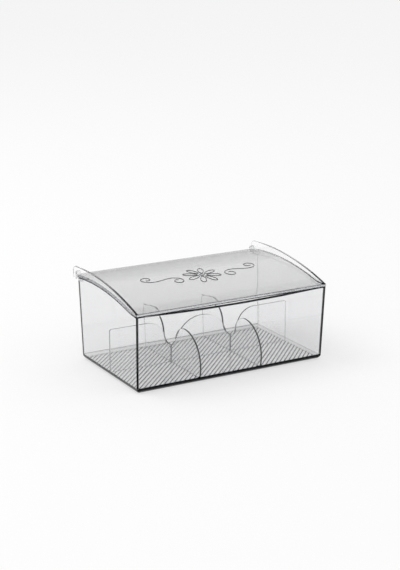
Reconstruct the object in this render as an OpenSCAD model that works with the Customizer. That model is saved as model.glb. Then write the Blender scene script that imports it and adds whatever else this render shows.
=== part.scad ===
// Hinged tea bag organizer: a clear smoke-tinted tray with an arched lid and a loose
// grid of three interlocking dividers. Millimetres, +Z up.
// The origin is the middle of the tray's underside; the front wall faces -Y.

/* [Tray] */
// Outside width of the tray at the front rim
body_w = 220; // [190:1:260]
// Outside depth of the tray at the front rim
body_d = 132; // [120:1:160]
// Height of the front rim at its ends
front_h = 79; // [66:1:110]
// How far the front and back walls lean outwards between the base and the front rim
draft = 3.6; // [1:0.1:5]
// How far the end walls lean outwards between the base and the front rim
end_draft = 1.5; // [0.5:0.1:4]
// Thickness of the four walls
wall = 2.2; // [1.6:0.1:3]
// Thickness of the floor
floor_t = 2.4; // [1.6:0.1:4]
// Outside radius along the bottom edges
edge_r = 4.8; // [3.5:0.1:8]

/* [Arched rim] */
// Rise of the side walls above the front rim at the top of their arch
rim_crown = 10.6; // [6:0.1:16]
// Radius of the arch along the side walls
crown_r = 330; // [280:5:420]
// Distance from the back wall to the top of the arch
crown_from_back = 38; // [30:1:50]
// Radius of the hollow curve that leads from the front rim into the arch
blend_r = 90; // [60:5:120]
// Depth of the shallow dip in the middle of the front rim
dip = 2.4; // [1:0.1:4]
// Distance from each end of the front wall to the start of the dip
dip_inset = 10; // [6:1:30]

/* [Lid] */
// Thickness of the arched lid sheet
sheet_t = 2.4; // [1.8:0.1:3.2]
// Gap between the closed lid and the rim that it rests on
seat_gap = 0.3; // [0.2:0.05:0.5]
// Thickness of the upright wing on each end of the lid
wing_t = 2.4; // [1.8:0.1:3.2]
// Height of the wings above the sheet at their highest point
wing_h = 6.8; // [5:0.1:12]
// Distance from the back wall to the highest point of the wings
wing_from_back = 22; // [16:1:30]
// How far the wings stand above the sheet at the front corners
wing_nose = 0.3; // [0.1:0.1:1]

/* [Hinge] */
// Distance of the hinge axis behind the back wall's rim
axis_back = 6; // [5.5:0.1:8]
// Height of the hinge axis above the top of the arch
axis_up = 1; // [0.5:0.1:2]
// Radius of the hinge pins
pin_r = 1.3; // [1:0.1:1.6]
// Radial clearance of the pins in the ears
pin_fit = 0.05; // [0.03:0.01:0.09]
// Thickness of the ear that closes the outer end of the pin's bore
bore_floor = 0.8; // [0.6:0.1:1.2]
// Gap between the turning ear and the tray's back corner
ear_gap = 0.4; // [0.3:0.05:0.6]
// How far the heel that stops the opened lid stands out of the round ear
heel_h = 1; // [0.6:0.1:1.4]
// Angle at which the heel's flat face meets the back wall
open_stop = 101.3; // [95:0.1:110]
// Thickness of the lugs that carry the pins
lug_t = 4; // [3:0.1:6]
// Sideways gap between a lug and the lid around it
lug_gap = 0.4; // [0.3:0.05:0.8]
// Radius of the lug's eye
lug_r = 2.4; // [2.2:0.1:2.8]
// Height of the lug's arm where it leaves the back wall
arm_h = 4.6; // [3.5:0.1:7]
// Height of the lug's arm below its eye
arm_end_h = 2.4; // [1.5:0.1:3.5]
// Gap between the lug's eye and the notch in the lid sheet
notch_gap = 0.5; // [0.4:0.05:0.8]
// How far the lid sheet reaches behind the hinge axis
tail = 2.2; // [1:0.1:3]

/* [Dividers] */
// Thickness of the divider plates
plate_t = 1.8; // [1.4:0.1:2.6]
// Height of the dividers above the floor
div_h = 45.6; // [38:0.1:52]
// Height of the low saddles above the floor, where the dividers cross
saddle_h = 18.1; // [14:0.1:22]
// Gap between a divider's end and the tray wall
end_gap = 0.3; // [0.2:0.05:0.8]
// Distance of the long divider's upright ends from the foot of the end walls
end_room = 1.6; // [0.4:0.1:3]
// Radius of the long divider's top corners
end_round = 2; // [1:0.1:4]
// Gap on each side of a plate in its halving slot
slot_gap = 0.15; // [0.1:0.01:0.3]
// Distance of the long divider behind the middle of the tray
long_y = 2; // [-4:0.5:6]
// Distance from a cross divider to where the long divider's middle arch springs
arch_spring = 4.4; // [3:0.1:8]
// Radius of the long divider's end shoulders
shoulder_r = 21.5; // [14:0.5:24]
// Distance from a cross divider to where an end shoulder springs
shoulder_spring = 7.1; // [5:0.1:12]
// Radius of the hollows at the foot of the long divider's arches
long_foot_r = 5; // [3:0.1:8]
// Radius of the front of the cross dividers' hump
hump_front_r = 32.2; // [26:0.1:36]
// Radius of the back of the cross dividers' hump
hump_back_r = 20.2; // [14:0.1:24]
// How far the hump stays below the dividers' top
hump_drop = 2.4; // [0:0.1:6]
// Gap between the hump and the inside of the front wall at the floor
hump_gap = 1; // [0.8:0.1:6]
// Radius of the cross dividers' back shoulder
back_r = 20; // [14:0.5:24]
// Length of the level top of the cross dividers at the back wall
back_flat = 22; // [14:1:30]
// Radius of the hollows at the foot of the cross dividers' arches
cross_foot_r = 10; // [6:0.5:14]

/* [Hidden] */
$fn = 96;
big_fn = 720; // facets of the large arcs, for OpenSCAD's own preview mesh
dip_fn = 2880; // facets of the very flat arc in the front rim
over = 1; // how far a cutting shape runs past what it cuts
far = 400; // longer than any size of the box
min_flat = 0.05; // half of the shortest level stretch in the middle of a saddle
nip = 0.001; // overlap of arcs and lines that run smoothly into each other

smoke = [0.56, 0.57, 0.6, 0.55];

half_w = body_w / 2;
half_d = body_d / 2;
floor_half_w = half_w - end_draft - wall; // inside of the end walls at the base
floor_half_d = half_d - draft - wall; // inside of the front and back walls at the base
inner_r = edge_r - wall;

// The arch of the rim, in the plane of the end walls
crown_y = half_d - crown_from_back;
crown_top = front_h + rim_crown;
crown_c = [crown_y, crown_top - crown_r];
blend_z = front_h + blend_r;
blend_c = [crown_y - sqrt(pow(crown_r + blend_r, 2) - pow(blend_z - crown_c.y, 2)), blend_z];
blend_dir = (blend_c - crown_c) / (crown_r + blend_r);
dip_half = half_w - dip_inset;
dip_r = (dip_half * dip_half + dip * dip) / (2 * dip);
dip_c = [0, front_h - dip + dip_r];

// The lid is as wide as the leaning end walls are at the top of their arch
lid_half = half_w + end_draft * rim_crown / front_h;
wing_in = lid_half - wing_t;
lid_lift = seat_gap + sheet_t;
wing_y = half_d - wing_from_back;
wing_top = crown_top + lid_lift + wing_h;
wing_run = wing_y + half_d;
wing_fall = wing_top - (front_h + lid_lift + wing_nose);
wing_r = (wing_run * wing_run + wing_fall * wing_fall) / (2 * wing_fall);
wing_c = [wing_y, wing_top - wing_r];

// The hinge, in the plane of the end walls: the ear just clears the tray's back corner as it
// turns round the pin, and rises to the top of the wing
back_rim = crown_c.y + sqrt(crown_r * crown_r - crown_from_back * crown_from_back);
back_corner = [half_d + draft * (back_rim - front_h) / front_h, back_rim];
hinge = [half_d + axis_back, crown_top + axis_up];
ear_r = norm(hinge - back_corner) - ear_gap;
ear_rise = wing_c.y + sqrt(wing_r * wing_r - pow(hinge.x - wing_y, 2)) - ear_r - hinge.y;
stop_reach = hinge.x - back_corner.x; // from the axis to the back wall's outer face
bore_end = lid_half - bore_floor;
lug_out = wing_in - lug_gap;
lug_in = lug_out - lug_t;
notch_y = hinge.x - lug_r - notch_gap;

// The divider grid
div_top = floor_t + div_h;
saddle_z = floor_t + saddle_h;
slot_z = floor_t + saddle_h / 2;
bay_w = (2 * floor_half_w - 2 * plate_t) / 3;
cross_x = (bay_w + plate_t) / 2;
arch_r = cross_x - arch_spring;
arch_c = [0, div_top - arch_r];
shoulder_c = [cross_x + shoulder_spring + shoulder_r, div_top - shoulder_r];
hump_top = div_top - hump_drop;
hump_y = hump_front_r + hump_gap - floor_half_d;
hump_front_c = [hump_y, hump_top - hump_front_r];
hump_back_c = [hump_y, hump_top - hump_back_r];
back_c = [floor_half_d - back_flat, div_top - back_r];

// Extrudes a profile drawn in Y and Z along X, centred
module along_x(length) {
    rotate([90, 0, 90]) linear_extrude(length, center = true) children();
}

// Extrudes a profile drawn in X and Z along Y, centred
module along_y(length) {
    rotate([90, 0, 0]) linear_extrude(length, center = true) children();
}

// Upright section of the tray: half is the half width at the front rim's height, slant how
// far the sides lean outwards up to there, and base the height of the flat bottom, which the
// sides meet in an arc
module section(half, slant, base, r) {
    lean = atan(slant / front_h);
    foot = half - slant * (front_h - base) / front_h;
    arc_x = foot - r / tan((90 + lean) / 2) + nip;
    side = [arc_x - nip + r * cos(lean), base + r - r * sin(lean)];
    top = 2 * front_h;
    top_x = half + slant * (top - front_h) / front_h;
    polygon([
        [-arc_x, base], [arc_x, base], side, [top_x, top],
        [-top_x, top], [-side.x, side.y]
    ]);
    for (s = [-1, 1]) translate([s * arc_x, base + r]) circle(r);
}

// The region below the arched rim, in Y and Z, with the whole curve raised by lift
module under_rim(lift) {
    start = min(-half_d, blend_c.x) - over;
    join = crown_c + (crown_r + lift) * blend_dir;
    translate([start, -over]) square([blend_c.x + over - start, front_h + lift + over]);
    difference() {
        translate([blend_c.x, -over]) square([join.x - blend_c.x, join.y + over]);
        translate(blend_c) circle(blend_r - lift, $fn = big_fn);
    }
    intersection() {
        translate(crown_c) circle(crown_r + lift + nip, $fn = big_fn);
        translate([join.x - over, -over]) square([far, far]);
    }
}

// The disc that dips the front rim, in X and Z, made smaller by shrink for the lid's lip
module dip_disc(shrink) {
    translate(dip_c) circle(dip_r - shrink, $fn = dip_fn);
}

// Both hinge ends: draws its children on the right and mirrored on the left
module both_ends() {
    children();
    mirror([1, 0, 0]) children();
}

// A round bar along X from x0 to x1 on the hinge axis
module on_axis(r, x0, x1) {
    translate([x0, hinge.x, hinge.y]) rotate([0, 90, 0]) cylinder(r = r, h = x1 - x0);
}

// The lug's outline: an eye round the pin, on an arm that leaves the back wall under the lid
// sheet and turns up through the sheet's notch
module lug_outline() {
    post = lug_r - nip;
    translate(hinge) circle(lug_r);
    intersection() {
        union() {
            under_rim(0);
            translate([hinge.x - post, 0]) square([far, far]);
        }
        polygon([
            [half_d - wall / 2, back_rim - arm_h], [hinge.x + post, back_rim - arm_end_h],
            [hinge.x + post, hinge.y], [hinge.x - lug_r, hinge.y], [half_d - wall / 2, back_rim]
        ]);
    }
}

// Centre of the hollow at the foot of the round shoulder at c; toward is 1 or -1, the side
// of the shoulder that the saddle is on
function foot_centre(c, r, foot, toward) =
    [c.x + toward * sqrt(pow(r + foot - nip, 2) - pow(saddle_z + foot - c.y, 2)), saddle_z + foot];

// The cut for a whole saddle between the round shoulders at c1 and c2, c1 on the lower side,
// with a hollow at the foot of each
module saddle(c1, r1, c2, r2, foot) {
    f1 = foot_centre(c1, r1, foot, 1);
    f2 = foot_centre(c2, r2, foot, -1);
    touch1 = c1 + (f1 - c1) * r1 / (r1 + foot);
    touch2 = c2 + (f2 - c2) * r2 / (r2 + foot);
    middle = (f1.x + f2.x) / 2;
    clear = div_top + over;
    difference() {
        union() {
            polygon([
                touch1, [min(f1.x, middle - min_flat), saddle_z],
                [max(f2.x, middle + min_flat), saddle_z], touch2,
                [c2.x, min(touch2.y, c2.y)], [c2.x, clear],
                [c1.x, clear], [c1.x, min(touch1.y, c1.y)]
            ]);
            translate(f1) circle(foot);
            translate(f2) circle(foot);
        }
        translate(c1) circle(r1);
        translate(c2) circle(r2);
    }
}

// The arched sheet of the lid with the lip that fills the dip of the front rim
module lid_sheet() {
    along_x(2 * lid_half) intersection() {
        difference() {
            under_rim(lid_lift);
            under_rim(seat_gap);
        }
        translate([-half_d, 0]) square([half_d + hinge.x + tail, far]);
    }
    translate([0, -half_d + wall / 2, 0]) along_y(wall) intersection() {
        dip_disc(seat_gap);
        translate([-half_w, front_h - dip]) square([body_w, dip + lid_lift - over]);
    }
}

// The wing at one end of the lid, in Y and Z
module wing_outline() {
    difference() {
        intersection() {
            translate(wing_c) circle(wing_r, $fn = big_fn);
            translate([-half_d, 0]) square([half_d + hinge.x + over, far]);
        }
        under_rim(seat_gap);
    }
}

// The ear that the wing ends in, in Y and Z: round at the top and round the pin and upright
// between, with a heel below whose flat face lies on the back wall when the lid is open
module ear_outline() {
    back = ear_r - nip;
    translate(hinge) {
        circle(ear_r);
        translate([0, ear_rise]) circle(ear_r);
        translate([-back, 0]) square([2 * back, ear_rise]);
        intersection() {
            circle(ear_r + heel_h);
            rotate(open_stop - 90) translate([0, -stop_reach]) square([far, stop_reach]);
            translate([0, -far]) square([back, far]);
        }
    }
}

module tub() {
    color(smoke) {
        difference() {
            intersection() {
                along_y(far) section(half_w, end_draft, 0, edge_r);
                along_x(far) section(half_d, draft, 0, edge_r);
                along_x(far) under_rim(0);
            }
            intersection() {
                along_y(far) section(half_w - wall, end_draft, floor_t, inner_r);
                along_x(far) section(half_d - wall, draft, floor_t, inner_r);
            }
            translate([0, -half_d + wall / 2, 0]) along_y(wall + 2 * over) dip_disc(0);
        }
        both_ends() {
            translate([(lug_in + lug_out) / 2, 0, 0]) along_x(lug_t) lug_outline();
            on_axis(pin_r, lug_out - over, bore_end - seat_gap);
        }
    }
}

module lid() {
    color(smoke) difference() {
        union() {
            difference() {
                lid_sheet();
                both_ends() translate([lug_in - lug_gap, notch_y, 0]) {
                    cube([wing_in - lug_in + lug_gap, far, far]);
                }
            }
            both_ends() translate([lid_half - wing_t / 2, 0, 0]) along_x(wing_t) {
                wing_outline();
                ear_outline();
            }
        }
        both_ends() on_axis(pin_r + pin_fit, wing_in - over, bore_end);
    }
}

// The long divider's upright ends and rounded top corners, in X and Z
module long_plate() {
    end_x = floor_half_w - end_room;
    round_x = end_x - end_round;
    round_z = div_top - end_round;
    translate([-end_x, 0]) square([2 * end_x, round_z]);
    translate([-round_x, 0]) square([2 * round_x, div_top]);
    for (s = [-1, 1]) translate([s * round_x, round_z]) circle(end_round + nip);
}

module long_divider() {
    slot_w = plate_t + 2 * slot_gap;
    color(smoke) translate([0, long_y, 0]) along_y(plate_t) difference() {
        intersection() {
            section(half_w - wall - end_gap, end_draft, floor_t, inner_r);
            long_plate();
        }
        for (s = [0, 1]) mirror([s, 0]) {
            saddle(arch_c, arch_r, shoulder_c, shoulder_r, long_foot_r);
            translate([cross_x - slot_w / 2, slot_z - slot_gap]) square([slot_w, div_h]);
        }
    }
}

// The front of the cross dividers' hump, in Y and Z, up to its highest point
module hump_front() {
    intersection() {
        translate(hump_front_c) circle(hump_front_r, $fn = big_fn);
        translate([hump_y - hump_front_r - over, 0]) square([hump_front_r + over, div_top]);
    }
}

module cross_divider(x) {
    slot_w = plate_t + 2 * slot_gap;
    color(smoke) translate([x, 0, 0]) along_x(plate_t) difference() {
        intersection() {
            section(half_d - wall - end_gap, draft, floor_t, inner_r);
            union() {
                hump_front();
                difference() {
                    translate([hump_y, 0]) square([half_d - hump_y, div_top]);
                    saddle(hump_back_c, hump_back_r, back_c, back_r, cross_foot_r);
                }
            }
        }
        translate([long_y - slot_w / 2, 0]) square([slot_w, slot_z + slot_gap]);
    }
}

module left_cross_divider() { cross_divider(-cross_x); }
module right_cross_divider() { cross_divider(cross_x); }

tub();
lid();
long_divider();
left_cross_divider();
right_cross_divider();
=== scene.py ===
import math

import bmesh
import bpy
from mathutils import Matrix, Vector


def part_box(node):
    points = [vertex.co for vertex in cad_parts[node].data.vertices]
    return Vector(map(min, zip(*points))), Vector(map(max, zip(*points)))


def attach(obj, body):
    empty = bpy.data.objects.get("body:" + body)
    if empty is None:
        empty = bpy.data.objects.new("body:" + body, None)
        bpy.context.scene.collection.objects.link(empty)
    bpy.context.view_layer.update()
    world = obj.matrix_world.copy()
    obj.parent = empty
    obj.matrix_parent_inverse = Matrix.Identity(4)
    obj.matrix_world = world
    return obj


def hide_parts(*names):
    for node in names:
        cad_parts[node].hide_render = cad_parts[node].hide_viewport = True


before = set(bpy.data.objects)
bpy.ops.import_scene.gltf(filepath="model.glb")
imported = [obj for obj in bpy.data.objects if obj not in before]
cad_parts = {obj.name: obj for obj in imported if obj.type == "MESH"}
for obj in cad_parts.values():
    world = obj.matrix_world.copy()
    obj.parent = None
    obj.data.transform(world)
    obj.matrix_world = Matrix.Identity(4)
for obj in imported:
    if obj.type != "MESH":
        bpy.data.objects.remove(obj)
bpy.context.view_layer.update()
scene = bpy.context.scene

# ---- Camera -------------------------------------------------------------------------
# A long lens about 1.4 metres away, a little left of the box and looking slightly down
# on it, so that the front, the left end and the lid all show. Places are in metres.
camera_place = Vector((-0.6701, -1.1688, 0.4645))
camera_aim = Vector((-0.0023, 0.0, 0.0804))
camera_lens_mm = 85.46
camera_sight = 50.0

camera_data = bpy.data.cameras.new("camera")
camera_data.lens = camera_lens_mm
camera_data.clip_end = camera_sight
camera = bpy.data.objects.new("camera", camera_data)
camera.location = camera_place
camera.rotation_euler = (camera_aim - camera_place).to_track_quat("-Z", "Y").to_euler()
scene.collection.objects.link(camera)
scene.camera = camera
scene.view_settings.view_transform = "Standard"

# Clear plastic seen through clear plastic takes many turns of each ray of light.
ray_turns = 48
scene.cycles.max_bounces = ray_turns
scene.cycles.transmission_bounces = ray_turns
scene.cycles.glossy_bounces = ray_turns
scene.cycles.transparent_max_bounces = 16

# ---- Studio -------------------------------------------------------------------------
# A wide sheet of matte white paper that the box stands on, with even light from all round
# and one large soft lamp high on the left, so that only a faint shadow shows on the paper.
mm = 0.001
paper_half = 30.0
paper_drop = 0.1 * mm
paper_white = "FBFBFB"
pure_white = "FFFFFF"
paper_glow = 0.55
ambient_level = 0.82
lamp_place = Vector((-1.2, 0.8, 2.2))
lamp_width = 1.6
lamp_watts = 16.0


def linear(hex_colour):
    """An sRGB hex colour as the linear numbers that shaders take, with alpha 1."""
    parts = [int(hex_colour[i:i + 2], 16) / 255 for i in (0, 2, 4)]
    return [c / 12.92 if c <= 0.04045 else ((c + 0.055) / 1.055) ** 2.4 for c in parts] + [1.0]


def add_node(tree, kind, settings=None, links=None):
    """Adds one node, sets its attributes and plain inputs, and links sockets into it."""
    node = tree.nodes.new(kind)
    for name, value in (settings or {}).items():
        if isinstance(name, str) and hasattr(node, name):
            setattr(node, name, value)
        else:
            node.inputs[name].default_value = value
    for name, socket in (links or {}).items():
        tree.links.new(socket, node.inputs[name])
    return node


def seen_rays(tree):
    """1 for rays that show the background itself: camera rays, and those that reach it by
    reflection or through the clear plastic; 0 for rays that gather light."""
    rays = add_node(tree, "ShaderNodeLightPath")
    first = add_node(tree, "ShaderNodeMath", {"operation": "MAXIMUM"}, {
        0: rays.outputs["Is Camera Ray"], 1: rays.outputs["Is Transmission Ray"]})
    every = add_node(tree, "ShaderNodeMath", {"operation": "MAXIMUM"}, {
        0: first.outputs[0], 1: rays.outputs["Is Glossy Ray"]})
    return every.outputs[0]


def new_material(name):
    """An empty node material, its tree and its output node."""
    material = bpy.data.materials.new(name)
    material.use_nodes = True
    tree = material.node_tree
    tree.nodes.clear()
    return material, tree, tree.nodes.new("ShaderNodeOutputMaterial")


# Matte paper: an even white that takes a soft shadow. Where it is seen, part of it glows,
# which keeps the background as white as a photographer's sweep.
paper_stock, tree, output = new_material("matte_paper")
matte = add_node(tree, "ShaderNodeBsdfDiffuse", {"Color": linear(paper_white)})
white = add_node(tree, "ShaderNodeEmission", {"Color": linear(pure_white), "Strength": 1.0})
share = add_node(tree, "ShaderNodeMath", {"operation": "MULTIPLY", 1: paper_glow}, {0: seen_rays(tree)})
surface = add_node(tree, "ShaderNodeMixShader", None, {
    0: share.outputs[0], 1: matte.outputs[0], 2: white.outputs[0]})
tree.links.new(surface.outputs[0], output.inputs["Surface"])

paper_mesh = bpy.data.meshes.new("paper")
paper_corners = [(-paper_half, -paper_half, -paper_drop), (paper_half, -paper_half, -paper_drop),
                 (paper_half, paper_half, -paper_drop), (-paper_half, paper_half, -paper_drop)]
paper_mesh.from_pydata(paper_corners, [], [(0, 1, 2, 3)])
paper_mesh.materials.append(paper_stock)
paper = bpy.data.objects.new("paper", paper_mesh)
scene.collection.objects.link(paper)

world = bpy.data.worlds.new("studio")
scene.world = world
world.use_nodes = True
tree = world.node_tree
tree.nodes.clear()
level = add_node(tree, "ShaderNodeMapRange", {"To Min": ambient_level, "To Max": 1.0}, {
    "Value": seen_rays(tree)})
light = add_node(tree, "ShaderNodeBackground", {"Color": linear(pure_white)}, {
    "Strength": level.outputs[0]})
add_node(tree, "ShaderNodeOutputWorld", None, {"Surface": light.outputs[0]})

lamp_data = bpy.data.lights.new("soft_lamp", "AREA")
lamp_data.shape = "DISK"
lamp_data.size = lamp_width
lamp_data.energy = lamp_watts
lamp = bpy.data.objects.new("soft_lamp", lamp_data)
lamp.location = lamp_place
lamp.rotation_euler = (-lamp_place).to_track_quat("-Z", "Y").to_euler()
scene.collection.objects.link(lamp)

# ---- Tray ---------------------------------------------------------------------------
# The open tray is one injection moulding in clear smoke-tinted polystyrene, polished on
# its walls, with fine slanting grooves moulded into the top of its floor.
smoke_tint = "C8C9CD"
# Painted shade: the near-black that the dark edges are coloured, and the black that takes out their
# reflection.
painted_shade_colour = "0A0C10"
clear_tint = "FFFFFF"
black_tint = "000000"
polystyrene_ior = 1.5
flow_size = 22 * mm
flow_height = 0.004 * mm
tray_density = 85.0

floor_top = 2.4 * mm
groove_field = (208 * mm, 116 * mm)
groove_pitch = 4.0 * mm
groove_width = 2.1 * mm
groove_depth = 0.52 * mm
groove_bottom = 0.12
groove_slant = math.radians(45)
field_height = 0.1

merge_distance = 2e-6
flat_angle = 0.002
sharp_angle = 0.5
soft_crease = 0.42
round_steps = 3
face_weight = 100


def moulded(node_name, piece_name):
    """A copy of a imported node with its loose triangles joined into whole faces."""
    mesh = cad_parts[node_name].data.copy()
    mesh.name = piece_name
    if mesh.has_custom_normals:
        mesh.attributes.remove(mesh.attributes["custom_normal"])
    mesh.materials.clear()
    bm = bmesh.new()
    bm.from_mesh(mesh)
    bmesh.ops.remove_doubles(bm, verts=bm.verts, dist=merge_distance)
    bmesh.ops.dissolve_limit(bm, angle_limit=flat_angle, verts=bm.verts, edges=bm.edges)
    bm.to_mesh(mesh)
    bm.free()
    piece = bpy.data.objects.new(piece_name, mesh)
    scene.collection.objects.link(piece)
    return piece


def finished(piece):
    """The piece with its modifiers applied, as a plain mesh."""
    shaped = piece.evaluated_get(bpy.context.evaluated_depsgraph_get())
    mesh = bpy.data.meshes.new_from_object(shaped)
    mesh.name = piece.name
    piece.modifiers.clear()
    piece.data = mesh
    return piece


def combine(piece, operation, tool):
    """Cuts another object out of the piece, or joins it on, and removes that object."""
    step = piece.modifiers.new(tool.name, "BOOLEAN")
    step.operation = operation
    step.solver = "EXACT"
    step.object = tool
    finished(piece)
    bpy.data.objects.remove(tool)


def round_edges(piece, width_at, crease_angle):
    """Rounds the sharp edges, each as wide as width_at(its middle in mm) says, also in mm, and
    leaves a crease where that is 0 and the faces turn by more than crease_angle. The new faces
    get the second material slot, by which darken_edges finds them."""
    piece.data.materials.append(None)
    bm = bmesh.new()
    bm.from_mesh(piece.data)
    weights = bm.edges.layers.float.new("bevel_weight_edge")
    widths = {}
    for edge in bm.edges:
        angle = edge.calc_face_angle(0)
        width = width_at((edge.verts[0].co + edge.verts[1].co) / (2 * mm))
        if width and angle > sharp_angle:
            widths[edge] = width
        elif angle > crease_angle:
            edge.smooth = False
    widest = max(widths.values())
    for edge, width in widths.items():
        edge[weights] = width / widest
    for face in bm.faces:
        face.smooth = True
    bm.to_mesh(piece.data)
    bm.free()
    bevel = piece.modifiers.new("edges", "BEVEL")
    bevel.width = widest * mm
    bevel.segments = round_steps
    bevel.limit_method = "WEIGHT"
    bevel.material = 1
    bevel.use_clamp_overlap = False
    flat = piece.modifiers.new("flat_faces", "WEIGHTED_NORMAL")
    flat.mode = "FACE_AREA"
    flat.weight = face_weight
    flat.keep_sharp = True
    return finished(piece)


def keep_inside(piece, node_name):
    """Moves the few points that the rounding pushed out back onto the node's own box."""
    low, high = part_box(node_name)
    for vertex in piece.data.vertices:
        vertex.co = [min(max(value, least), most) for value, least, most in zip(vertex.co, low, high)]


def darken_edges(piece, painted_shade_at):
    """Writes the painted shade of each face, 0 to 1, into the attribute that the material reads,
    as the given function says from the face's middle in mm, its normal and whether it is a
    rounded edge."""
    mesh = piece.data
    depth = mesh.attributes.new("edge_painted_shade", "FLOAT", "FACE")
    for face in mesh.polygons:
        depth.data[face.index].value = painted_shade_at(face.center / mm, face.normal, face.material_index == 1)
        face.material_index = 0
    mesh.materials.pop(index=1)


def clear_plastic(name, density):
    """Clear moulded polystyrene: a polished surface, the smoke tint in its depth, and near-black
    edges of painted shade, standing for light that runs along inside the sheet until it is used
    up: the face attribute mixes the colour towards near-black and the reflection towards none
    there. The faint ripple is left by the flow of the moulding, about 22 mm from wave to wave."""
    material, tree, output = new_material(name)
    # The face attribute paints shade: it mixes the colour towards near-black and the reflection towards
    # none.
    edge = add_node(tree, "ShaderNodeAttribute", {"attribute_name": "edge_painted_shade"}).outputs["Fac"]
    # A colour Mix node takes its colours at sockets 6 and 7 and gives the mix at output 2
    colour = add_node(tree, "ShaderNodeMix", {
        "data_type": "RGBA", 6: linear(clear_tint), 7: linear(painted_shade_colour)}, {0: edge})
    gloss = add_node(tree, "ShaderNodeMix", {
        "data_type": "RGBA", 6: linear(clear_tint), 7: linear(black_tint)}, {0: edge})
    place = add_node(tree, "ShaderNodeTexCoord").outputs["Object"]
    flow = add_node(tree, "ShaderNodeTexNoise", {"Scale": 1 / flow_size, "Detail": 1.0}, {"Vector": place})
    ripple = add_node(tree, "ShaderNodeBump", {"Strength": 1.0, "Distance": flow_height}, {
        "Height": flow.outputs[0]})
    surface = add_node(tree, "ShaderNodeBsdfPrincipled", {
        "Roughness": 0.0, "IOR": polystyrene_ior, "Transmission Weight": 1.0}, {
        "Base Color": colour.outputs[2], "Specular Tint": gloss.outputs[2], "Normal": ripple.outputs[0]})
    depth = add_node(tree, "ShaderNodeVolumeAbsorption", {"Color": linear(smoke_tint), "Density": density})
    tree.links.new(surface.outputs[0], output.inputs["Surface"])
    tree.links.new(depth.outputs[0], output.inputs["Volume"])
    return material


def new_tree(name, inputs):
    """An empty Geometry Nodes tree: the tree, its inputs' identifiers and its inputs' sockets."""
    tree = bpy.data.node_groups.new(name, "GeometryNodeTree")
    identifiers = {}
    for label, kind in inputs.items():
        socket = tree.interface.new_socket(label, in_out="INPUT", socket_type="NodeSocket" + kind)
        identifiers[label] = socket.identifier
    tree.interface.new_socket("Mesh", in_out="OUTPUT", socket_type="NodeSocketGeometry")
    return tree, identifiers, add_node(tree, "NodeGroupInput").outputs


def shape_with(piece, tree, identifiers, values):
    """Gives the piece a tree as its modifier, with the tree's inputs set."""
    modifier = piece.modifiers.new(tree.name, "NODES")
    modifier.node_group = tree
    for label, value in values.items():
        modifier[identifiers[label]] = value


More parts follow.
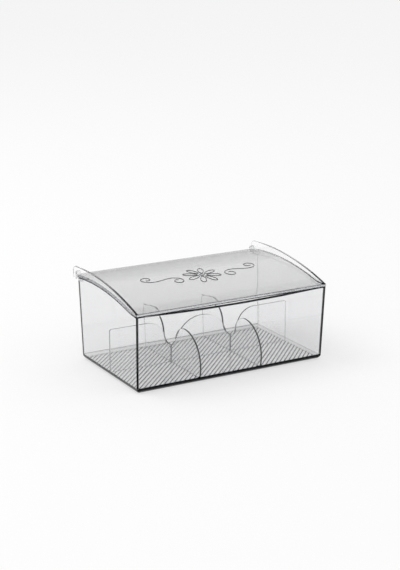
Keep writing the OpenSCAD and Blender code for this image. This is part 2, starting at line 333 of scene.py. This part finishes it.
def groove_comb():
    """Geometry Nodes: parallel V bars laid slantwise, trimmed to a rectangle."""
    tree, identifiers, given = new_tree("groove_comb", {
        "Field X": "Float", "Field Y": "Float", "Pitch": "Float", "Width": "Float",
        "Depth": "Float", "Bottom Share": "Float", "Top": "Float", "Material": "Material"})
    # The bars are as long as both sides of the field together, and fill its diagonal
    span = add_node(tree, "ShaderNodeMath", {"operation": "ADD"}, {
        0: given["Field X"], 1: given["Field Y"]})
    across = add_node(tree, "ShaderNodeMath", {"operation": "DIVIDE", 1: math.sqrt(2)}, {0: span.outputs[0]})
    pitches = add_node(tree, "ShaderNodeMath", {"operation": "DIVIDE"}, {
        0: across.outputs[0], 1: given["Pitch"]})
    count = add_node(tree, "ShaderNodeMath", {"operation": "CEIL"}, {0: pitches.outputs[0]})
    # One bar: a long cube whose lower edges are drawn together into a V
    tall = add_node(tree, "ShaderNodeMath", {"operation": "MULTIPLY", 1: 2.0}, {0: given["Depth"]})
    size = add_node(tree, "ShaderNodeCombineXYZ", None, {
        "X": span.outputs[0], "Y": given["Width"], "Z": tall.outputs[0]})
    bar = add_node(tree, "GeometryNodeMeshCube", None, {"Size": size.outputs[0]})
    place = add_node(tree, "GeometryNodeInputPosition")
    parts = add_node(tree, "ShaderNodeSeparateXYZ", None, {0: place.outputs[0]})
    low = add_node(tree, "FunctionNodeCompare", {"operation": "LESS_THAN", "B": 0.0}, {
        "A": parts.outputs["Z"]})
    drawn_in = add_node(tree, "ShaderNodeMath", {"operation": "MULTIPLY"}, {
        0: parts.outputs["Y"], 1: given["Bottom Share"]})
    narrow = add_node(tree, "ShaderNodeCombineXYZ", None, {
        "X": parts.outputs["X"], "Y": drawn_in.outputs[0], "Z": parts.outputs["Z"]})
    vee = add_node(tree, "GeometryNodeSetPosition", None, {
        "Geometry": bar.outputs["Mesh"], "Selection": low.outputs[0], "Position": narrow.outputs[0]})
    # The row of bars, centred, turned and raised to the floor's top
    gaps = add_node(tree, "ShaderNodeMath", {"operation": "SUBTRACT", 1: 1.0}, {0: count.outputs[0]})
    reach = add_node(tree, "ShaderNodeMath", {"operation": "MULTIPLY"}, {
        0: gaps.outputs[0], 1: given["Pitch"]})
    start = add_node(tree, "ShaderNodeMath", {"operation": "MULTIPLY", 1: -0.5}, {0: reach.outputs[0]})
    first = add_node(tree, "ShaderNodeCombineXYZ", None, {"Y": start.outputs[0]})
    step = add_node(tree, "ShaderNodeCombineXYZ", None, {"Y": given["Pitch"]})
    row = add_node(tree, "GeometryNodeMeshLine", {"mode": "OFFSET"}, {
        "Count": count.outputs[0], "Start Location": first.outputs[0], "Offset": step.outputs[0]})
    bars = add_node(tree, "GeometryNodeInstanceOnPoints", None, {
        "Points": row.outputs["Mesh"], "Instance": vee.outputs["Geometry"]})
    whole = add_node(tree, "GeometryNodeRealizeInstances", None, {"Geometry": bars.outputs[0]})
    height = add_node(tree, "ShaderNodeCombineXYZ", None, {"Z": given["Top"]})
    turned = add_node(tree, "GeometryNodeTransform", {"Rotation": (0, 0, groove_slant)}, {
        "Geometry": whole.outputs[0], "Translation": height.outputs[0]})
    field_size = add_node(tree, "ShaderNodeCombineXYZ", {"Z": field_height}, {
        "X": given["Field X"], "Y": given["Field Y"]})
    field = add_node(tree, "GeometryNodeMeshCube", None, {"Size": field_size.outputs[0]})
    trimmed = add_node(tree, "GeometryNodeMeshBoolean", {"operation": "INTERSECT", "solver": "EXACT"})
    tree.links.new(turned.outputs[0], trimmed.inputs["Mesh 2"])
    tree.links.new(field.outputs["Mesh"], trimmed.inputs["Mesh 2"])
    coated = add_node(tree, "GeometryNodeSetMaterial", None, {
        "Geometry": trimmed.outputs["Mesh"], "Material": given["Material"]})
    add_node(tree, "NodeGroupOutput", None, {0: coated.outputs[0]})
    return tree, identifiers


# The tray's walls are the thickest, so its plastic shows the smoke tint most.
tray_plastic = clear_plastic("clear_smoke_polystyrene", tray_density)

comb = bpy.data.objects.new("groove_comb", bpy.data.meshes.new("groove_comb"))
scene.collection.objects.link(comb)
comb_tree, identifiers = groove_comb()
shape_with(comb, comb_tree, identifiers, {
    "Field X": groove_field[0], "Field Y": groove_field[1], "Pitch": groove_pitch,
    "Width": groove_width, "Depth": groove_depth, "Bottom Share": groove_bottom,
    "Top": floor_top, "Material": tray_plastic})
finished(comb)

tray = moulded("tub", "tray")
tray.data.materials.append(tray_plastic)
combine(tray, "DIFFERENCE", comb)

# Sizes and places on the tray in mm. The walls lean in towards the floor.
half_width = 110.0
half_depth = 66.0
front_height = 79.0
end_lean = 1.5 / front_height
long_lean = 3.6 / front_height
corner_round = 1.1
rim_round = 0.8
inner_round = 0.5
lug_round = 0.25
floor_zone = 5.0
floor_inset = 4.0
lug_start = -0.3
rim_zone = 74.0
rim_corner_zone = 77.0
rim_reach = 66.4
wall_inset = 2.8
rim_skin = 1.0
corner_skin = 1.5

# The painted shade on the faces: 0 is clear and 1 is black. A fade is a place along y, the
# painted shade up to there, a second place, and the painted shade from there on.
clear = 0.0
black = 1.0
groove_dark = 0.85
far_base_dark = 0.3
back_edge_dark = 0.5
side_rim_fade = (10, 0.05, 62, 1.0)
groove_zone = (1.8, 2.395)
base_band = 5.2
base_inset = 4.9
base_tilt = 0.3
near_front = -55
near_left = -100
back_zone = 50
front_zone = -60
side_rim_zone = 75
side_rim_inset = 3
front_rim_zone = 76
level_tilt = 0.6


def tray_reach(at):
    """How far a point is inside the outer faces of the end walls and of the long walls."""
    drop = front_height - at.z
    return (half_width - end_lean * drop - abs(at.x), half_depth - long_lean * drop - abs(at.y))


def tray_rounding(at):
    """The rounding of the tray's edges: none on the grooves, little on the hinge lugs and on
    inner edges, and most on the rims and the upright corners."""
    side, front = tray_reach(at)
    if at.z < floor_zone and min(side, front) > floor_inset:
        return 0
    if front < lug_start:
        return lug_round
    at_rim = at.z > rim_zone and abs(at.y) < rim_reach
    if at_rim and (max(side, front) > wall_inset or at.z > rim_corner_zone):
        return rim_round if min(side, front) < rim_skin else inner_round
    return corner_round if max(side, front) < corner_skin else inner_round


def fade(at, start, first, end, last):
    """A value that runs evenly from first at start to last at end, and stays so beyond."""
    share = min(1.0, max(0.0, (at - start) / (end - start)))
    return first + share * (last - first)


def tray_painted_shade(at, normal, rounded):
    """The tray's dark lines, all painted shade: the grooves, the foot of the walls, most at the
    front and left, the rounded edges, and the level top of the front rim."""
    side, front = tray_reach(at)
    if groove_zone[0] < at.z < groove_zone[1] and min(side, front) > floor_inset:
        return groove_dark
    if front < lug_start:
        return clear
    if min(side, front) < base_inset and at.z < base_band and normal.z < base_tilt:
        return black if at.y < near_front or at.x < near_left else far_base_dark
    if rounded and at.z > side_rim_zone and front > side_rim_inset:
        return fade(at.y, *side_rim_fade)
    if rounded:
        return back_edge_dark if at.y > back_zone else black
    if at.y < front_zone and at.z > front_rim_zone and normal.z > level_tilt:
        return black
    return clear


round_edges(tray, tray_rounding, soft_crease)
keep_inside(tray, "tub")
darken_edges(tray, tray_painted_shade)
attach(tray, "tub")
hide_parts("tub")

# ---- Lid ----------------------------------------------------------------------------
# The arched lid is one moulding in the same plastic, with an upright wing on each end and
# a raised ornament of fine lines on top: a rosette between two scrolls. Sizes are in mm.
lid_density = 8.0
arch_centre = (28.0, -240.4)
arch_radius = 332.7
bead_radius = 0.5
bead_sides = 12
petals = 8
petal_from = 5.0
petal_to = 20.0
petal_half = 3.3
petal_fullness = (0.88, 0.12)
petal_steps = 28
ring_radius = 2.4
ring_steps = 20
scroll_middle = (46.0, 1.0)
scroll_half = 50.0
scroll_turn = 7.2
scroll_tilt = math.radians(-17)
scroll_steps = 90

# The lid's grey is painted on its faces, partly as its smoke tint and partly as painted shade,
# so the tint in its thickness is thin.
lid_plastic = clear_plastic("clear_smoke_polystyrene_lid", lid_density)


def petal(number):
    """A closed loop that points away from the middle of the rosette."""
    angle = 2 * math.pi * (number + 0.5) / petals
    points = []
    for step in range(petal_steps):
        turn = 2 * math.pi * step / petal_steps
        along = petal_from + (petal_to - petal_from) * (1 - math.cos(turn)) / 2
        across = petal_half * math.sin(turn) * (petal_fullness[0] - petal_fullness[1] * math.cos(turn))
        points.append((along * math.cos(angle) - across * math.sin(angle),
                       along * math.sin(angle) + across * math.cos(angle)))
    return points


def ring():
    """The small ring in the middle of the rosette."""
    turns = [2 * math.pi * step / ring_steps for step in range(ring_steps)]
    return [(ring_radius * math.cos(turn), ring_radius * math.sin(turn)) for turn in turns]


def scroll(side):
    """An S-shaped scroll whose bend grows evenly from its middle to both ends."""
    bend = 2 * scroll_turn / scroll_half ** 2
    length = scroll_half / scroll_steps
    halves = []
    for way in (1, -1):
        x = y = 0.0
        points = []
        for step in range(scroll_steps):
            heading = bend * ((step + 0.5) * length) ** 2 / 2
            x += way * length * math.cos(heading)
            y += way * length * math.sin(heading)
            points.append((x, y))
        halves.append(points)
    line = halves[1][::-1] + [(0.0, 0.0)] + halves[0]
    cosine = math.cos(scroll_tilt)
    sine = math.sin(scroll_tilt)
    return [(side * (scroll_middle[0] + x * cosine - y * sine),
             scroll_middle[1] + x * sine + y * cosine) for x, y in line]


def bead_line():
    """Geometry Nodes: lays flat lines on the arched sheet and sweeps a round bead on them."""
    tree, identifiers, given = new_tree("bead_line", {
        "Curves": "Geometry", "Bead Radius": "Float", "Arch Radius": "Float",
        "Arch Y": "Float", "Arch Z": "Float", "Material": "Material"})
    # The arch's height at each point's own y
    place = add_node(tree, "GeometryNodeInputPosition")
    parts = add_node(tree, "ShaderNodeSeparateXYZ", None, {0: place.outputs[0]})
    offset = add_node(tree, "ShaderNodeMath", {"operation": "SUBTRACT"}, {
        0: parts.outputs["Y"], 1: given["Arch Y"]})
    offset_2 = add_node(tree, "ShaderNodeMath", {"operation": "POWER", 1: 2.0}, {0: offset.outputs[0]})
    radius_2 = add_node(tree, "ShaderNodeMath", {"operation": "POWER", 1: 2.0}, {0: given["Arch Radius"]})
    left = add_node(tree, "ShaderNodeMath", {"operation": "SUBTRACT"}, {
        0: radius_2.outputs[0], 1: offset_2.outputs[0]})
    rise = add_node(tree, "ShaderNodeMath", {"operation": "SQRT"}, {0: left.outputs[0]})
    height = add_node(tree, "ShaderNodeMath", {"operation": "ADD"}, {
        0: rise.outputs[0], 1: given["Arch Z"]})
    on_arch = add_node(tree, "ShaderNodeCombineXYZ", None, {
        "X": parts.outputs["X"], "Y": parts.outputs["Y"], "Z": height.outputs[0]})
    laid = add_node(tree, "GeometryNodeSetPosition", None, {
        "Geometry": given["Curves"], "Position": on_arch.outputs[0]})
    # The round bead along the lines
    profile = add_node(tree, "GeometryNodeCurvePrimitiveCircle", {"Resolution": bead_sides}, {
        "Radius": given["Bead Radius"]})
    swept = add_node(tree, "GeometryNodeCurveToMesh", {"Fill Caps": True}, {
        "Curve": laid.outputs[0], "Profile Curve": profile.outputs[0]})
    whole = add_node(tree, "GeometryNodeRealizeInstances", None, {"Geometry": swept.outputs[0]})
    coated = add_node(tree, "GeometryNodeSetMaterial", None, {
        "Geometry": whole.outputs[0], "Material": given["Material"]})
    add_node(tree, "NodeGroupOutput", None, {0: coated.outputs[0]})
    return tree, identifiers


lines = [(petal(number), True) for number in range(petals)]
lines += [(ring(), True), (scroll(1), False), (scroll(-1), False)]
drawing = bpy.data.curves.new("ornament", "CURVE")
drawing.dimensions = "3D"
for points, closed in lines:
    spline = drawing.splines.new("POLY")
    spline.points.add(len(points) - 1)
    spline.use_cyclic_u = closed
    for point, (x, y) in zip(spline.points, points):
        point.co = (x * mm, y * mm, 0, 1)
ornament = bpy.data.objects.new("ornament", drawing)
scene.collection.objects.link(ornament)
bead_tree, identifiers = bead_line()
shape_with(ornament, bead_tree, identifiers, {
    "Bead Radius": bead_radius * mm, "Arch Radius": arch_radius * mm,
    "Arch Y": arch_centre[0] * mm, "Arch Z": arch_centre[1] * mm, "Material": lid_plastic})
shaped = ornament.evaluated_get(bpy.context.evaluated_depsgraph_get())
beads = bpy.data.objects.new("beads", bpy.data.meshes.new_from_object(shaped))
scene.collection.objects.link(beads)
bpy.data.objects.remove(ornament)

lid = moulded("lid", "arched_lid")
lid.data.materials.append(lid_plastic)
combine(lid, "UNION", beads)

# Places on the lid in mm, and the painted shade on its faces there. The left wing's edges
# are painted darker than the right one's, as painted shade for how the light falls on them.
ornament_reach = (85, 30)
ornament_zone = 80
sheet_half = 107.8
nose_start = 106
lip_zone = -60
lip_bottom = 79.4
lip_bottom_edge = 79.8
ear_zone = 62
ear_edge_zone = 64
wing_foot = 0.6
bead_foot = 0.05
wing_tilt = 0.3
bead_tilt = 0.1
lip_round = 0.8
lid_round = 0.4
lid_crease = 0.9

bead_back_dark = 0.2
lip_top_dark = 0.3
left_ear_dark = 0.8
right_ear_dark = 0.12
wing_foot_dark = 0.15
left_wing_edge = (-40, 1.0, 40, 0.7)
right_wing_edge = (-40, 1.0, 40, 0.3)
left_wing_top = (-20, 1.0, 60, 0.5)
right_wing_top = (-45, 1.0, 35, 0.12)
sheet_front = (-62, 0.42, -40, 0.27)
sheet_back = (10, 0.27, 64, 0.66)


def sheet_rise(y):
    """Height of the sheet's arched top at y, in mm."""
    return arch_centre[1] + math.sqrt(arch_radius ** 2 - (y - arch_centre[0]) ** 2)


def on_ornament(at):
    """Whether a point is where the sheet carries the ornament."""
    return abs(at.x) < ornament_reach[0] and abs(at.y) < ornament_reach[1] and at.z > ornament_zone


def lid_rounding(at):
    """The rounding of the lid's edges: none on the beads, most along the lip's lower edge."""
    if on_ornament(at):
        return 0
    if at.y < lip_zone and at.z < lip_bottom:
        return lip_round
    return lug_round if at.y > ear_edge_zone else lid_round


def lid_painted_shade(at, normal, rounded):
    """The lid's painted shade: dark lines on the beads, blackest on their front side, the lip,
    the ears and the wings, darker on the left; and the grey of the sheet between the wings,
    partly its smoke tint and partly painted shade, darker towards the front and the back."""
    if on_ornament(at) and at.z > sheet_rise(at.y) + bead_foot:
        return black if normal.y < bead_tilt else bead_back_dark
    at_left = at.x < 0
    at_lip = at.y < lip_zone
    if rounded:
        if at_lip and at.z < lip_bottom_edge:
            return black
        if at_lip:
            return lip_top_dark if abs(at.x) < nose_start else black
        if at.y > ear_zone:
            return left_ear_dark if at_left else right_ear_dark
        if at.z < sheet_rise(at.y) + wing_foot:
            return wing_foot_dark
        return fade(at.y, *(left_wing_edge if at_left else right_wing_edge))
    if at_lip and at.z < lip_bottom and normal.z < -level_tilt:
        return black
    if abs(at.x) > sheet_half and normal.z > wing_tilt:
        return fade(at.y, *(left_wing_top if at_left else right_wing_top))
    if abs(at.x) < sheet_half and abs(normal.z) > level_tilt:
        return fade(at.y, *(sheet_front if at.y < 0 else sheet_back))
    return clear


round_edges(lid, lid_rounding, lid_crease)
keep_inside(lid, "lid")
darken_edges(lid, lid_painted_shade)
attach(lid, "lid")
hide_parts("lid")

# ---- Dividers -----------------------------------------------------------------------
# Three flat plates of the same plastic with halving slots, which stand loose on the tray's
# floor. They are thinner than the tray's walls and look almost colourless but for their edges.
seat_air = 0.03 * mm
plate_density = 25.0
plate_round = 0.3
flat_side = 0.9
hump_fade = (60, 1.0, 72, 0.0)
back_part = (10, 44)
back_end = 55
slot_place = 35.7
slot_reach = 1.5
long_edge_dark = 0.6

# The plates' plastic is nearly clear in their thickness, and only their edges are dark, as
# painted shade.
plate_plastic = clear_plastic("clear_smoke_polystyrene_plate", plate_density)


def plate_rounding(at):
    return plate_round


def cross_painted_shade(at, normal, rounded):
    """A cross divider's edges in painted shade: black on the front hump and clear at its top and at the
    back.
    """
    at_back = (at.y > back_part[0] and at.z > back_part[1]) or at.y > back_end
    if abs(normal.x) > flat_side or at_back:
        return clear
    return fade(at.z, *hump_fade)


def long_painted_shade(at, normal, rounded):
    """The long divider's edges in painted shade: grey, and black in the two slots."""
    if abs(normal.y) > flat_side:
        return clear
    return black if abs(abs(at.x) - slot_place) < slot_reach else long_edge_dark


for name, painted_shade_at in (("long_divider", long_painted_shade), ("left_cross_divider", cross_painted_shade),
                       ("right_cross_divider", cross_painted_shade)):
    plate = moulded(name, name + "_plate")
    plate.data.materials.append(plate_plastic)
    for vertex in plate.data.vertices:
        vertex.co.z = max(vertex.co.z, floor_top + seat_air)
    round_edges(plate, plate_rounding, soft_crease)
    darken_edges(plate, painted_shade_at)
    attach(plate, name)
    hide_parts(name)
